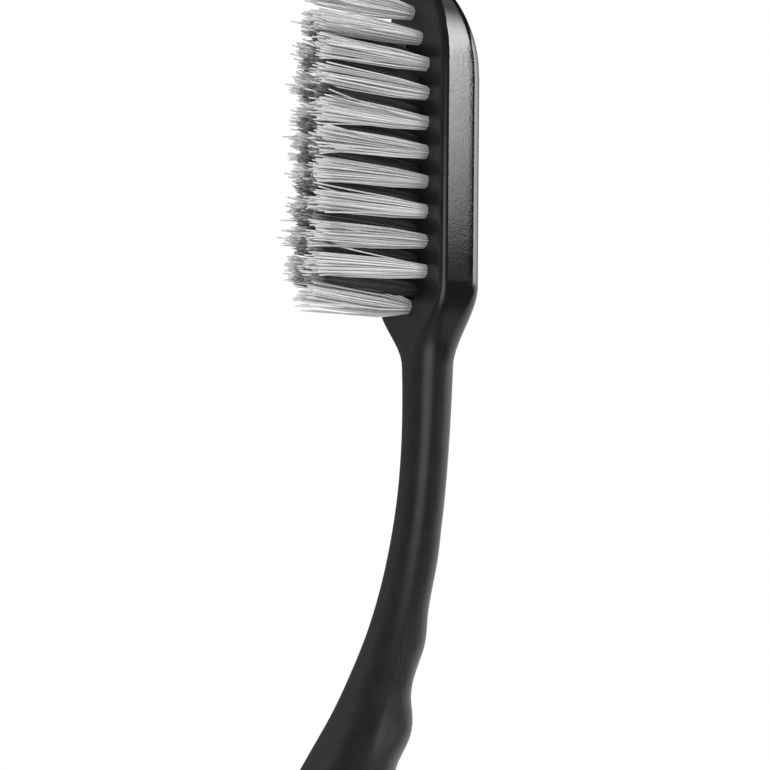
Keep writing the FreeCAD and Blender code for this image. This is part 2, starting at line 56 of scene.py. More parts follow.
# Head plate, with a back that rises towards the tip.
HEAD_WIDTH = 11.3 * MM
HEAD_THICKNESS = 4.4 * MM
HEAD_TIP_LENGTH = 8.4 * MM
HEAD_TIP_RADIUS = 4.3 * MM
FACE_EDGE = 0.65 * MM
BACK_EDGE = 1.27 * MM
TIP_BACK_EDGE = 0.6 * MM
TIP_RISE = 2.2 * MM
TIP_RISE_LENGTH = 9.8 * MM
TIP_RISE_POWER = 1.6
TIP_ROOM_SHARE = 0.98

# Neck and grip, with a flat land and shallow waves along the back.
ROOT_WIDTH = 4.8 * MM
ROOT_DEPTH = 4.2 * MM
WAIST_WIDTH = 4.3 * MM
WAIST_DEPTH = 4.0 * MM
GRIP_WIDTH = 13.2 * MM
GRIP_DEPTH = 9.6 * MM
LAND_WIDTH = 5.0 * MM
LAND_EDGE = math.radians(12.0)
LAND_START_WAVES = 0.9
WAVE_LEAD = 10.8 * MM
WAVE_PITCH = 8.2 * MM
WAVE_DEPTH = 0.75 * MM
WAVE_FADE_SHARES = (0.0, 0.25, 1.0, 1.0, 0.8, 0.4, 0.0)
NECK_CORNER_SHARE = 0.46
GRIP_CORNER_SHARE = 0.43
TAPER_START_SHARE = 0.7
SIDE_ROOM_SHARE = 0.93

# Shares of the grip's swell over the waist, in width and depth: along the neck, wave by half wave, and
# along the grip. On the neck and grip each has its share of the way there first.
NECK_SWELL_SHARES = (
    (1.0, 0.056, 0.036), (0.83, 0.02, 0.026), (0.64, 0.0, 0.01), (0.43, 0.0, 0.0), (0.205, 0.022, 0.017),
)
WAVE_SWELL_SHARES = (
    (0.067, 0.052), (0.14, 0.11), (0.255, 0.20), (0.395, 0.30), (0.595, 0.45),
    (0.745, 0.63), (0.85, 0.79), (0.93, 0.90), (0.975, 0.962),
)
GRIP_SWELL_SHARES = (
    (0.09, 1.0, 1.0), (0.30, 0.95, 0.93), (0.53, 0.84, 0.79), (0.76, 0.775, 0.68), (1.0, 0.755, 0.63),
)

# Directions of the head: along it to the tip, out of its face, and to its near side.
ALONG = Vector((math.cos(HEAD_TILT), 0, math.sin(HEAD_TILT)))
OUT = Vector((-math.sin(HEAD_TILT), 0, math.cos(HEAD_TILT)))
NEAR = Vector((0, -1, 0))


def smooth_step(share):
    """An even ramp from 0 to 1 that starts and ends level."""
    share = min(max(share, 0), 1)
    return share * share * (3 - 2 * share)


def blend(low, high, share):
    """A value between two others."""
    return low + share * (high - low)


def path_point(place):
    """The point of the handle's back line at a place on the path, and how far the path has turned there."""
    turn = min(max(place, 0), ARC_LENGTH) / BEND_RADIUS
    beyond = max(place - ARC_LENGTH, 0)
    x = GRIP_LENGTH / 2 + min(place, 0) + BEND_RADIUS * math.sin(turn) + beyond * math.cos(turn)
    z = BEND_RADIUS * (1 - math.cos(turn)) + beyond * math.sin(turn)
    return Vector((x, 0, z)), turn


HEAD_TIP_ON_FACE = path_point(HEAD_TIP)[0] + OUT * ROOT_DEPTH


# The handle's sections
BUTT_PLACE = BUTT_LENGTH - GRIP_LENGTH
LAST_WAVE_PLACE = WAVE_LEAD - len(WAVE_SWELL_SHARES) / 2 * WAVE_PITCH


def swell_keys():
    """Places along the path, from butt to neck root, with the shares of the swell there."""
    keys = [(blend(WAVE_LEAD, ARC_LENGTH, run), width, depth) for run, width, depth in NECK_SWELL_SHARES]
    for number, (width, depth) in enumerate(WAVE_SWELL_SHARES):
        keys.append((WAVE_LEAD - number / 2 * WAVE_PITCH, width, depth))
    for run, width, depth in GRIP_SWELL_SHARES:
        keys.append((blend(LAST_WAVE_PLACE, BUTT_PLACE, run), width, depth))
    return sorted(keys)


SWELL_KEYS = swell_keys()


def key_slope(index, column):
    """The slope of one share at a key, from the keys on both sides of it."""
    before, after = SWELL_KEYS[max(index - 1, 0)], SWELL_KEYS[min(index + 1, len(SWELL_KEYS) - 1)]
    return (after[column] - before[column]) / (after[0] - before[0])


def swell(place, column):
    """One share of the swell at a place, on a smooth curve through the keys."""
    passed = sum(key[0] < place for key in SWELL_KEYS)
    index = min(max(passed - 1, 0), len(SWELL_KEYS) - 2)
    low, high = SWELL_KEYS[index], SWELL_KEYS[index + 1]
    run = high[0] - low[0]
    gone = min(max((place - low[0]) / run, 0), 1)
    left = 1 - gone
    return (
        low[column] * left * left * (1 + 2 * gone)
        + high[column] * gone * gone * (1 + 2 * left)
        + key_slope(index, column) * run * gone * left * left
        - key_slope(index + 1, column) * run * gone * gone * left
    )


def wave_depth(place):
    """Depth of the waves in the back at a place: a cosine that fades in and out."""
    waves = (WAVE_LEAD - place) / WAVE_PITCH
    step = min(max(waves + 1, 0), len(WAVE_FADE_SHARES) - 1)
    index = min(int(step), len(WAVE_FADE_SHARES) - 2)
    fade = blend(WAVE_FADE_SHARES[index], WAVE_FADE_SHARES[index + 1], step - index)
    return WAVE_DEPTH * fade * (1 + math.cos(2 * math.pi * waves)) / 2


def grip_section(place, round_share=1.0):
    """Half width, back, front, back corner, front corner and back edge angle of a neck or grip section."""
    half = blend(WAIST_WIDTH, GRIP_WIDTH, swell(place, 1)) / 2 * round_share
    depth = blend(WAIST_DEPTH, GRIP_DEPTH, swell(place, 2))
    back = depth * (1 - round_share) / 2 + wave_depth(place)
    front = depth * (1 + round_share) / 2
    land = smooth_step((WAVE_LEAD - place) / WAVE_PITCH - LAND_START_WAVES)
    corner = blend(NECK_CORNER_SHARE, GRIP_CORNER_SHARE, land) * depth * round_share
    land_corner = (half - LAND_WIDTH / 2 * round_share) / (1 - math.sin(LAND_EDGE))
    edge = LAND_EDGE * land
    room = SIDE_ROOM_SHARE * (front - corner - back) / math.cos(edge)
    return half, back, front, min(blend(corner, land_corner, land), room), corner, edge


def shoulder_section(beyond):
    """The same for the taper from the neck's root to the head."""
    gone = 1 - beyond / SHOULDER_LENGTH / TAPER_START_SHARE
    neck_share = smooth_step(gone)
    corner = NECK_CORNER_SHARE * ROOT_DEPTH
    half = blend(HEAD_WIDTH, ROOT_WIDTH, neck_share) / 2
    back = (ROOT_DEPTH - HEAD_THICKNESS) * (1 - neck_share)
    back_corner = blend(BACK_EDGE, corner, neck_share)
    front_corner = blend(FACE_EDGE, corner, neck_share)
    return half, back, ROOT_DEPTH, back_corner, front_corner, 0.0


def rounded_off(radius, left):
    """How far a rounded edge has dropped when so much of the way to its end is left."""
    inner = max(radius - left, 0)
    return radius - math.sqrt(radius * radius - inner * inner)


def tip_section(left):
    """The same for the head, so much before its tip: side arcs, then the tighter arc of the tip."""
    half = HEAD_WIDTH / 2
    reach = HEAD_TIP_LENGTH - HEAD_TIP_RADIUS
    side_radius = (reach ** 2 + half ** 2 - HEAD_TIP_RADIUS ** 2) / (2 * (half - HEAD_TIP_RADIUS))
    turn = math.atan2(reach, side_radius - half)
    if left < HEAD_TIP_RADIUS * (1 - math.sin(turn)):
        width = math.sqrt(HEAD_TIP_RADIUS ** 2 - (HEAD_TIP_RADIUS - left) ** 2)
    else:
        width = math.sqrt(side_radius ** 2 - max(HEAD_TIP_LENGTH - left, 0) ** 2) - side_radius + half
    rise = TIP_RISE * max(1 - left / TIP_RISE_LENGTH, 0) ** TIP_RISE_POWER
    back = ROOT_DEPTH - HEAD_THICKNESS + rise + rounded_off(TIP_BACK_EDGE, left)
    front = ROOT_DEPTH - rounded_off(FACE_EDGE, left)
    room = TIP_ROOM_SHARE * min(width, (front - back) / 2)
    return width, back, front, min(BACK_EDGE, room), min(FACE_EDGE, room), 0.0


ARC_STEPS = 10
FLAT_STEPS = 5


def ring_points(section):
    """Points round a section, across and up, from the middle of its back and turning to the near side."""
    half, back, front, back_corner, front_corner, edge = section
    low_centre = back + back_corner * math.cos(edge)
    points = []

    def add_arc(across, up, radius, start, end):
        for step in range(ARC_STEPS + 1):
            angle = blend(start, end, step / ARC_STEPS)
            points.append((across + radius * math.cos(angle), up + radius * math.sin(angle)))

    def add_flat(end):
        start = points[-1]
        for step in range(1, FLAT_STEPS):
            points.append(tuple(blend(a, b, step / FLAT_STEPS) for a, b in zip(start, end)))

    right = math.pi / 2
    add_arc(half - back_corner, low_centre, back_corner, edge - right, 0)
    add_flat((half, front - front_corner))
    add_arc(half - front_corner, front - front_corner, front_corner, 0, right)
    add_flat((front_corner - half, front))
    add_arc(front_corner - half, front - front_corner, front_corner, right, 2 * right)
    add_flat((-half, low_centre))
    add_arc(back_corner - half, low_centre, back_corner, 2 * right, 3 * right - edge)
    add_flat(points[0])
    return points


def steps_between(start, end, step):
    """Even places from a start to just before an end, about a step apart."""
    count = max(round(abs(end - start) / step), 1)
    return [blend(start, end, number / count) for number in range(count)]


GRIP_STEP = 1.6 * MM
WAVE_STEP = 0.6 * MM
SHOULDER_STEP = 0.5 * MM
HEAD_STEP = 1.6 * MM
BUTT_STEPS = 10
TIP_STEPS = 18
CAP_SHARE = 0.02


def handle_sections():
    """Every section of the handle from butt to tip: its place on the path and its shape."""
    sections = []
    for step in range(BUTT_STEPS):
        angle = math.pi / 2 * (1 - CAP_SHARE) * (1 - step / BUTT_STEPS)
        place = BUTT_PLACE - BUTT_LENGTH * math.sin(angle)
        sections.append((place, grip_section(BUTT_PLACE, math.cos(angle))))
    places = steps_between(BUTT_PLACE, LAST_WAVE_PLACE, GRIP_STEP)
    places += steps_between(LAST_WAVE_PLACE, ARC_LENGTH, WAVE_STEP)
    sections += [(place, grip_section(place)) for place in places]
    for beyond in steps_between(0, SHOULDER_LENGTH, SHOULDER_STEP):
        sections.append((ARC_LENGTH + beyond, shoulder_section(beyond)))
    for run in steps_between(0, HEAD_LENGTH - HEAD_TIP_LENGTH, HEAD_STEP):
        sections.append((ARC_LENGTH + SHOULDER_LENGTH + run, tip_section(HEAD_LENGTH - run)))
    for step in range(TIP_STEPS + 1):
        left = HEAD_TIP_LENGTH * max(1 - step / TIP_STEPS, CAP_SHARE) ** 2
        sections.append((HEAD_TIP - left, tip_section(left)))
    return sections


def in_place(place, point):
    """A section's point, across and up, in the frame."""
    across, up = point
    origin, turn = path_point(place)
    return origin + NEAR * across + Vector((-math.sin(turn), 0, math.cos(turn))) * up


def select_nothing():
    """Leave no object selected or active."""
    bpy.ops.object.select_all(action="DESELECT")
    bpy.context.view_layer.objects.active = None


def start_piece(name):
    """Name the object that an operator has just added, and its mesh."""
    piece = bpy.context.active_object
    piece.name = piece.data.name = name
    return piece


FLATS_WEIGHT = 80


def make_handle():
    """One moulding: a ring at the butt is extruded from section to section up to the head's tip."""
    rings = []
    for place, section in handle_sections():
        rings.append([in_place(place, point) for point in ring_points(section)])
    select_nothing()
    bpy.ops.mesh.primitive_circle_add(vertices=len(rings[0]), radius=GRIP_WIDTH, fill_type="NGON")
    handle = start_piece("handle_moulding")
    for vertex, point in zip(handle.data.vertices, rings[0]):
        vertex.co = point
    bpy.ops.object.mode_set(mode="EDIT")
    bpy.ops.mesh.select_all(action="SELECT")
    mesh = bmesh.from_edit_mesh(handle.data)
    for ring in rings[1:]:
        seen = len(mesh.verts)
        bpy.ops.mesh.extrude_region_move()
        mesh = bmesh.from_edit_mesh(handle.data)
        mesh.verts.ensure_lookup_table()
        for vertex, point in zip(mesh.verts[seen:], ring):
            vertex.co = point
    bmesh.update_edit_mesh(handle.data)
    bpy.ops.mesh.select_all(action="SELECT")
    bpy.ops.mesh.normals_make_consistent(inside=False)
    bpy.ops.object.mode_set(mode="OBJECT")
    bpy.ops.object.shade_smooth()
    flats = handle.modifiers.new("Flats", "WEIGHTED_NORMAL")
    flats.weight = FLATS_WEIGHT
    bpy.ops.object.modifier_apply(modifier=flats.name)
    return handle


# Tufts of filaments
FILAMENT_RADIUS = 0.072 * MM
FILAMENT_ROUNDNESS = 1
ROOT_RADIUS = 0.61 * MM
FILAMENTS = 60
CLUMPS = 7
UNEVEN = 0.09 * MM
SUNK = 0.4 * MM
TIP_SIDE_TRIM = 0.7 * MM
TIP_ROUND = 0.12 * MM
TIP_TAPER = 0.55
HEIGHT_SHARES = (0.0, 0.3, 0.6, 0.84)
BEND_POWER = 1.6
GOLDEN_ANGLE = math.pi * (3 - math.sqrt(5))
FAN = math.radians(2.2)
FAN_REACH = 13.0 * MM
FIELD_MIDDLE = 16.9 * MM


class TuftStyle(NamedTuple):
    """How a kind of tuft spreads, bends, frays and leans, in metres where it isn't a share."""

    spread: float
    early: float
    clump: float
    wander: float
    stray_share: float
    stray: float
    trim: float
    added: float = 0.0
    lean: float = 0.0
    inward_share: float = 0.0


CROWN_STYLE = TuftStyle(
    spread=2.25, early=0.32, clump=0.26 * MM, wander=0.12 * MM,
    stray_share=0.07, stray=0.65 * MM, trim=0.17 * MM)
HEEL_STYLE = TuftStyle(
    spread=3.0, early=0.34, clump=0.26 * MM, wander=0.12 * MM,
    stray_share=0.07, stray=0.65 * MM, trim=0.17 * MM, lean=0.7 * MM)
OUTER_STYLE = TuftStyle(
    spread=1.80, early=0.42, clump=0.17 * MM, wander=0.10 * MM,
    stray_share=0.15, stray=0.62 * MM, trim=0.34 * MM, added=0.30 * MM, inward_share=0.34)
INNER_STYLE = TuftStyle(
    spread=1.36, early=0.20, clump=0.13 * MM, wander=0.08 * MM,
    stray_share=0.06, stray=0.35 * MM, trim=0.20 * MM, added=-0.9 * MM, lean=0.55 * MM)


def tuft_axis(node):
    """Where a tuft's axis meets the face, and its height over the face, measured on its solid."""
    corners = [vertex.co for vertex in node.data.vertices]
    middle = sum(corners, Vector()) / len(corners)
    face = HEAD_TIP_ON_FACE.dot(OUT)
    tip = max(corner.dot(OUT) for corner in corners)
    return middle + OUT * (face - middle.dot(OUT)), tip - face


def sideways(draw, wander):
    """A random push across the tuft."""
    return ALONG * draw.gauss(0, wander) + NEAR * draw.gauss(0, wander)


def filament_points(base, height, root_offset, clump_bend, style, draw):
    """The line of one filament: points with a share of the filament's radius."""
    bend = clump_bend + sideways(draw, style.stray if draw.random() < style.stray_share else style.wander)
    middle = ((HEAD_TIP_ON_FACE - base).dot(ALONG) - FIELD_MIDDLE) / FAN_REACH
    fan = ALONG * (-math.tan(FAN) * middle)
    lean = ALONG * style.lean - NEAR * base.dot(NEAR) * style.inward_share
    tall = height + style.added - TIP_SIDE_TRIM * (1 - middle) / 2 + draw.gauss(0, style.trim)
    rises = [-SUNK] + [share * tall for share in HEIGHT_SHARES] + [tall - TIP_ROUND, tall]
    points = []
    for rise in rises:
        gone = max(rise, 0) / height
        spread = 1 + (style.spread - 1) * gone ** style.early
        offset = root_offset * spread + bend * gone ** BEND_POWER + lean * gone + fan * max(rise, 0)
        points.append((base + offset + OUT * rise, TIP_TAPER if rise == tall else 1.0))
    return points


def tuft_style(name):
    """The style of a tuft: single ones at the head's ends have more room than the rest of the rim."""
    if name.startswith("inner"):
        return INNER_STYLE
    if name.endswith(("left", "right")):
        return OUTER_STYLE
    return HEEL_STYLE if name.endswith("11") else CROWN_STYLE


def make_tuft(node, style, seed):
    """A bundle of filaments in place of a tuft's solid, each with its own bend and trimmed length."""
    draw = random.Random(seed)
    base, height = tuft_axis(node)
    curve = bpy.data.curves.new(f"{node.name}_bristles", "CURVE")
    curve.dimensions = "3D"
    curve.bevel_depth = FILAMENT_RADIUS
    curve.bevel_resolution = FILAMENT_ROUNDNESS
    curve.use_fill_caps = True
    tuft_bend = sideways(draw, UNEVEN)
    clump_bends = [tuft_bend + sideways(draw, style.clump) for _ in range(CLUMPS)]
    for number in range(FILAMENTS):
        radius = ROOT_RADIUS * math.sqrt((number + 0.5) / FILAMENTS)
        angle = number * GOLDEN_ANGLE + seed
        root_offset = (ALONG * math.cos(angle) + NEAR * math.sin(angle)) * radius
        clump = int(angle / (2 * math.pi) % 1 * CLUMPS)
        points = filament_points(base, height, root_offset, clump_bends[clump], style, draw)
        spline = curve.splines.new("POLY")
        spline.points.add(len(points) - 1)
        for place, (point, width) in zip(spline.points, points):
            place.co = (*point, 1)
            place.radius = width
    bundle = bpy.data.objects.new(f"{node.name}_bristles", curve)
    bpy.context.scene.collection.objects.link(bundle)
    select_nothing()
    bundle.select_set(True)
    bpy.context.view_layer.objects.active = bundle
    bpy.ops.object.convert(target="MESH")
    bpy.ops.object.shade_smooth()
    bundle = bpy.context.active_object
    mark_strands(bundle.data, base, height, draw)
    return bundle


def mark_strands(mesh, base, height, draw):
    """Store how far up its filament each point is, and the filament's own shade."""
    shades = [draw.random() for _ in range(FILAMENTS)]
    each = len(mesh.vertices) // FILAMENTS
    strand = mesh.attributes.new("strand", "FLOAT_VECTOR", "POINT")
    for number, vertex in enumerate(mesh.vertices):
        reach = (vertex.co - base).dot(OUT) / height
        strand.data[number].vector = (reach, shades[min(number // each, FILAMENTS - 1)], 0)


# Materials
def pick(sockets, name):
    """A node's socket by its number or name. Where several share a name, it is the one in use."""
    if isinstance(name, int):
        return sockets[name]
    named = [socket for socket in sockets if socket.name == name]
    return next((socket for socket in named if socket.enabled), named[0])


class Wire:
    """One output in a material's nodes. Arithmetic on wires adds the Math nodes that work it out."""

    def __init__(self, tree, socket=None):
        self.tree = tree
        self.socket = socket

    def add(self, kind, settings, inputs, output=0):
        """A node of any kind: its settings first, then the values or wires of its sockets."""
        node = self.tree.nodes.new(kind)
        for name, value in settings.items():
            setattr(node, name, value)
        for name, value in inputs.items():
            socket = pick(node.inputs, name)
            if isinstance(value, Wire):
                self.tree.links.new(value.socket, socket)
            else:
                socket.default_value = value
        return Wire(self.tree, pick(node.outputs, output)) if node.outputs else None

    def math(self, operation, first, second):
        """A Math node on two values."""
        return self.add("ShaderNodeMath", {"operation": operation}, {0: first, 1: second})

    def __add__(self, other):
        return self.math("ADD", self, other)

    __radd__ = __add__

    def __sub__(self, other):
        return self.math("SUBTRACT", self, other)

    def __rsub__(self, other):
        return self.math("SUBTRACT", other, self)

    def __mul__(self, other):
        return self.math("MULTIPLY", self, other)

    __rmul__ = __mul__

    def ramp(self, low, high, start=0.0, end=1.0):
        """This value mapped smoothly from one range to another, and held at its ends."""
        settings = {"interpolation_type": "SMOOTHSTEP"}
        inputs = {"Value": self, "From Min": low, "From Max": high, "To Min": start, "To Max": end}
        return self.add("ShaderNodeMapRange", settings, inputs)

    def mix(self, low, high):
        """A colour between two others, with this value as the share of the second."""
        inputs = {"Factor": self, "A": colour(low), "B": colour(high)}
        return self.add("ShaderNodeMix", {"data_type": "RGBA"}, inputs, "Result")

    def noise(self, coords, scale, detail, stretch=(1, 1, 1)):
        """A cloudy value between 0 and 1 on some coordinates."""
        mapped = self.add("ShaderNodeMapping", {}, {"Vector": coords, "Scale": stretch})
        inputs = {"Vector": mapped, "Scale": scale, "Detail": detail}
        return self.add("ShaderNodeTexNoise", {}, inputs, "Fac")


def colour(value):
    """A colour as four numbers; a wire stays as it is."""
    return value if isinstance(value, Wire) else (*value, 1)


def new_material(name):
    """An empty node material and the start of its wires."""
    material = bpy.data.materials.new(name)
    material.use_nodes = True
    material.node_tree.nodes.clear()
    return material, Wire(material.node_tree)


def finish_material(start, shader):
    """Wire a shader to the material's output."""
    start.add("ShaderNodeOutputMaterial", {}, {"Surface": shader})


NOISE_MIDDLE = 0.5

# Black plastic: the scale and detail of its patterns, its roughness, its two close blacks and its relief.
CLOUD_SCALE, CLOUD_DETAIL = 420, 3
GRAIN_SCALE, GRAIN_DETAIL = 5200, 2
RUB_SCALE, RUB_DETAIL, RUB_STRETCH = 900, 4, (0.2, 1, 1)
SATIN, POLISH = 0.38, 0.13
CLOUD_ROUGH, GRAIN_ROUGH = 0.05, 0.1
POLISH_UNDER_FACE = (0.2 * MM, 0.03 * MM)
BLACK_RANGE = (0.3, 0.7)
DEEP_BLACK, SOFT_BLACK = (0.0072, 0.0074, 0.0082), (0.0105, 0.0107, 0.0115)
GRAIN_HEIGHT, POLISHED_GRAIN, RUB_HEIGHT = 0.7, 0.5, 0.3
GRAIN_STRENGTH, GRAIN_DISTANCE = 0.2, 0.02 * MM
PLASTIC_IOR = 1.5


def moulded_black():
    """Black moulded plastic: polished on the head's sides and back, satin with a fine grain elsewhere."""
    material, start = new_material("moulded_black")
    coords = start.add("ShaderNodeTexCoord", {}, {}, "Object")
    along = start.add("ShaderNodeSeparateXYZ", {}, {"Vector": coords}, "X")
    root, shoulder = path_point(ARC_LENGTH)[0].x, path_point(ARC_LENGTH + SHOULDER_LENGTH)[0].x
    level = start.add("ShaderNodeVectorMath", {"operation": "DOT_PRODUCT"}, {0: coords, 1: OUT}, "Value")
    face = HEAD_TIP_ON_FACE.dot(OUT)
    under_start, under_end = POLISH_UNDER_FACE
    polished = along.ramp(root, shoulder) * level.ramp(face - under_start, face - under_end, 1.0, 0.0)
    cloud = start.noise(coords, CLOUD_SCALE, CLOUD_DETAIL)
    grain = start.noise(coords, GRAIN_SCALE, GRAIN_DETAIL)
    rub = start.noise(coords, RUB_SCALE, RUB_DETAIL, RUB_STRETCH)
    uneven = (cloud - NOISE_MIDDLE) * CLOUD_ROUGH + (grain - NOISE_MIDDLE) * GRAIN_ROUGH
    height = grain * (GRAIN_HEIGHT + POLISHED_GRAIN * polished) + rub * RUB_HEIGHT
    bump = start.add("ShaderNodeBump", {}, {
        "Strength": GRAIN_STRENGTH, "Distance": GRAIN_DISTANCE, "Height": height})
    shader = start.add("ShaderNodeBsdfPrincipled", {}, {
        "Base Color": cloud.ramp(*BLACK_RANGE).mix(DEEP_BLACK, SOFT_BLACK),
        "Roughness": (1 - polished) * SATIN + polished * POLISH + uneven,
        "Normal": bump, "IOR": PLASTIC_IOR})
    finish_material(start, shader)
    return material


# Nylon: its streaks, how a strand's own shade and the streaks share its colour, and its painted root shade
# and painted tip highlight.
STREAK_SCALE, STREAK_DETAIL = 1800, 2
OWN_SHARE, STREAK_SHARE = 0.75, 0.25
# The share of a filament's height over which the painted shade at its root fades out.
SHADE_RANGE = (0.15, 0.85)
ROOT_SHADE_RANGE = (0.0, 0.12)
# How unevenly the painted highlight on the tips starts, and how much the roughness varies.
LIT_TIP_UNEVEN, ROUGH_UNEVEN = 0.1, 0.12
NYLON_IOR = 1.53


def nylon(name, low, high, root, tip, lit_tip_start, roughness):
    """Nylon filament: each strand has its own shade, with painted shade darkening its root and a painted
    highlight paling its tip.
    """
    material, start = new_material(name)
    strand = start.add("ShaderNodeAttribute", {"attribute_name": "strand"}, {}, "Vector")
    reach = start.add("ShaderNodeSeparateXYZ", {}, {"Vector": strand}, "X")
    own = start.add("ShaderNodeSeparateXYZ", {}, {"Vector": strand}, "Y")
    coords = start.add("ShaderNodeTexCoord", {}, {}, "Object")
    streak = start.noise(coords, STREAK_SCALE, STREAK_DETAIL)
    body = (own * OWN_SHARE + streak * STREAK_SHARE).ramp(*SHADE_RANGE).mix(low, high)
    # Painted shade: the colour darkens towards the root, where the filaments pack together at the face.
    root_shaded = reach.ramp(*ROOT_SHADE_RANGE).mix(root, body)
    # Painted highlight: the colour pales towards the tip, where the light catches the loose ends.
    tip_lit = (reach + (streak - NOISE_MIDDLE) * LIT_TIP_UNEVEN).ramp(lit_tip_start, 1.0).mix(root_shaded, tip)
    rough = roughness + (streak - NOISE_MIDDLE) * ROUGH_UNEVEN
    shader = start.add("ShaderNodeBsdfPrincipled", {}, {
        "Base Color": tip_lit, "Roughness": rough, "IOR": NYLON_IOR})
    finish_material(start, shader)
    return material


def light_nylon():
    """Pale grey filament of the outer ring."""
    # The root colour is painted shade and the tip colour a painted highlight.
    return nylon(
        "light_nylon", low=(0.46, 0.465, 0.47), high=(0.84, 0.845, 0.85), root=(0.40, 0.40, 0.41),
        tip=(0.78, 0.78, 0.78), lit_tip_start=0.85, roughness=0.38)


def dark_nylon():
    """Near black filament of the inner columns, with grey tips that are a painted highlight."""
    # The root colour is painted shade and the tip colour a painted highlight.
    return nylon(
        "dark_nylon", low=(0.030, 0.030, 0.032), high=(0.080, 0.080, 0.083), root=(0.018, 0.018, 0.02),
        tip=(0.40, 0.40, 0.41), lit_tip_start=0.77, roughness=0.42)


# Brass sheet
LINE_SCALE, LINE_DETAIL, LINE_STRETCH = 6000, 2, (0.1, 1, 1)
DULL_BRASS, BRIGHT_BRASS = (0.55, 0.40, 0.17), (0.74, 0.58, 0.30)
BRASS_ROUGH, LINE_ROUGH = 0.25, 0.2
LINE_STRENGTH, LINE_DISTANCE = 0.1, 0.01 * MM


def anchor_brass():
    """Drawn brass sheet with fine lines along it."""
    material, start = new_material("anchor_brass")
    coords = start.add("ShaderNodeTexCoord", {}, {}, "Object")
    lines = start.noise(coords, LINE_SCALE, LINE_DETAIL, LINE_STRETCH)
    bump = start.add("ShaderNodeBump", {}, {
        "Strength": LINE_STRENGTH, "Distance": LINE_DISTANCE, "Height": lines})
    shader = start.add("ShaderNodeBsdfPrincipled", {}, {
        "Base Color": lines.mix(DULL_BRASS, BRIGHT_BRASS), "Roughness": lines * LINE_ROUGH + BRASS_ROUGH,
        "Normal": bump, "Metallic": 1.0})
    finish_material(start, shader)
    return material


class Glow(NamedTuple):
    """A sheet's glow at its foot and top, and the shares of its height between which that changes."""

    foot: float
    top: float
    fade: tuple = (0.0, 0.4)


def glowing_white(name, glow):
    """A white surface that gives off light for the studio, evenly or fading along its height."""
    material, start = new_material(name)
    if glow.foot == glow.top:
        shader = start.add("ShaderNodeEmission", {}, {"Color": (1, 1, 1, 1), "Strength": glow.top})
    else:
        coords = start.add("ShaderNodeTexCoord", {}, {}, "UV")
        height = start.add("ShaderNodeSeparateXYZ", {}, {"Vector": coords}, "Y")
        shade = height.ramp(*glow.fade, glow.foot, glow.top)
        shader = start.add("ShaderNodeEmission", {}, {"Color": shade, "Strength": 1.0})
    finish_material(start, shader)
    return material


# Camera
EYE_DISTANCE = 260.0 * MM
LENS = 136.04
SENSOR = 36.0
CLIP_START = 10.0 * MM
VIEW_TURN = math.radians(30.72)
VIEW_RISE = math.radians(10.465)
VIEW_LEAN = math.radians(-0.747)
TARGET_BEFORE_TIP = 38.091 * MM
TARGET_OVER_FACE = 2.333 * MM
TARGET = HEAD_TIP_ON_FACE - ALONG * TARGET_BEFORE_TIP + OUT * TARGET_OVER_FACE
TO_EYE = -math.sin(VIEW_RISE) * ALONG + math.cos(VIEW_RISE) * (
    math.sin(VIEW_TURN) * OUT + math.cos(VIEW_TURN) * NEAR)


def view_axes():
    """The camera's right and up directions."""
    up = (ALONG - ALONG.dot(TO_EYE) * TO_EYE).normalized()
    right = up.cross(TO_EYE)
    lean_right = math.cos(VIEW_LEAN) * right - math.sin(VIEW_LEAN) * up
    lean_up = math.cos(VIEW_LEAN) * up + math.sin(VIEW_LEAN) * right
    return lean_right, lean_up


def make_camera():
    """The camera at the photograph's viewing angle."""
    data = bpy.data.cameras.new("camera")
    data.lens = LENS
    data.sensor_width = SENSOR
    data.clip_start = CLIP_START
    camera = bpy.data.objects.new("camera", data)
    right, up = view_axes()
    turn = Matrix((right, up, TO_EYE)).transposed()
    camera.matrix_world = Matrix.Translation(TARGET + TO_EYE * EYE_DISTANCE) @ turn.to_4x4()
    bpy.context.scene.collection.objects.link(camera)
    bpy.context.scene.camera = camera


# Studio: places on the brush that lights and cards face, so far before the head's tip.
HEAD_AIM_BACK = 14.0 * MM
NECK_AIM_BACK = 50.0 * MM
WALL_AIM_BACK = 13.7 * MM
HEAD_AIM = HEAD_TIP_ON_FACE - ALONG * HEAD_AIM_BACK
NECK_AIM = HEAD_TIP_ON_FACE - ALONG * NECK_AIM_BACK
WALL_AIM = HEAD_TIP_ON_FACE - ALONG * WALL_AIM_BACK + NEAR * HEAD_WIDTH / 2 - OUT * HEAD_THICKNESS / 2

# Soft lights: what they face, how far right, up and to the eye of it they stand, width, height, and watts.
SOFT_LIGHTS = {
    "front_soft": (NECK_AIM, (0.0, 100.0 * MM, 500.0 * MM), 300.0 * MM, 600.0 * MM, 1.7),
    "left_soft": (NECK_AIM, (-450.0 * MM, 0.0, 120.0 * MM), 250.0 * MM, 700.0 * MM, 1.05),
    "top_soft": (HEAD_AIM, (-200.0 * MM, 350.0 * MM, 250.0 * MM), 300.0 * MM, 300.0 * MM, 0.5),
}

# Cards that show in the head's side and in the curve of its tip.
CARD_DISTANCE = 120.0 * MM
SIDE_CARD_RISE = 49.0 * MM
SIDE_CARD_SIZE = (14.0 * MM, 106.0 * MM)
SIDE_CARD_GLOW = Glow(1.2, 16.2, (-0.1, 0.38))
TIP_CARD_RISE = 9.0 * MM
TIP_CARD_TURN = math.radians(60.0)
TIP_CARD_SIZE = (26.0 * MM, 150.0 * MM)
TIP_CARD_GLOW = Glow(14.0, 0.8, (0.22, 0.66))

